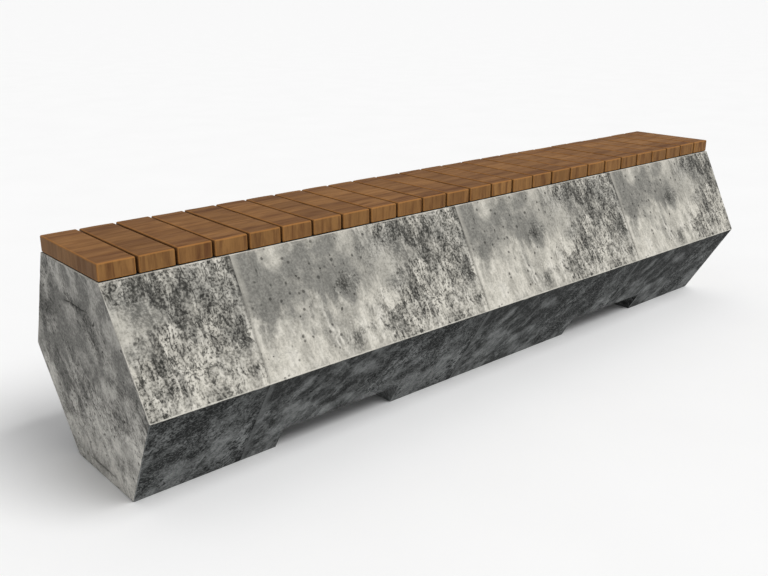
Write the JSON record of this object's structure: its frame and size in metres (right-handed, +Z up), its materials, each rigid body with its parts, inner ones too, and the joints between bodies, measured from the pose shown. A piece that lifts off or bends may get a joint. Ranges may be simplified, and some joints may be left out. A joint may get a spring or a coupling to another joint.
{
  "type": "backless bench",
  "caption": "Backless street bench: a six-sided precast concrete body with leaning ends and lifting notches in its base, under a timber seat of short cross slats.",
  "frame": {"origin": "middle of the footprint, on the ground", "axes": "+X along the bench, -Y to the front, +Z up"},
  "size_m": [1.9998, 0.4982, 0.477],
  "materials": {
    "concrete": "fair-faced precast concrete, mottled light and dark grey",
    "timber": "oiled warm brown hardwood with fine grain",
    "rail_steel": "hot-dip galvanised, dull",
    "screw_steel": "plain stainless steel",
    "pad_rubber": "matt black rubber",
    "anchor_resin": "cured grey injection resin",
    "reinforcing_steel": "hot-rolled bar with light rust",
    "socket_steel": "zinc plated",
    "cap_plastic": "red polyethylene"
  },
  "bodies": {
    "root": {"concrete_body": "concrete", "slat_01": "timber", "slat_02": "timber", "slat_03": "timber", "slat_04": "timber", "slat_05": "timber", "slat_06": "timber", "slat_07": "timber", "slat_08": "timber", "slat_09": "timber", "slat_10": "timber", "slat_11": "timber", "slat_12": "timber", "slat_13": "timber", "slat_14": "timber", "slat_15": "timber", "slat_16": "timber", "slat_17": "timber", "slat_18": "timber", "slat_19": "timber", "slat_20": "timber", "slat_21": "timber", "slat_22": "timber", "slat_23": "timber", "slat_24": "timber", "slat_25": "timber", "slat_26": "timber", "rail_front": "rail_steel", "rail_back": "rail_steel", "rail_studs": "rail_steel", "slat_screws_front": "screw_steel", "slat_screws_back": "screw_steel", "rail_pad_front": "pad_rubber", "rail_pad_back": "pad_rubber", "stud_resin": "anchor_resin", "rebar_stirrups": "reinforcing_steel", "rebar_long_bars": "reinforcing_steel", "lifting_socket_bars": "reinforcing_steel", "lifting_sockets": "socket_steel", "lifting_socket_caps": "cap_plastic"}
  },
  "joints": []
}
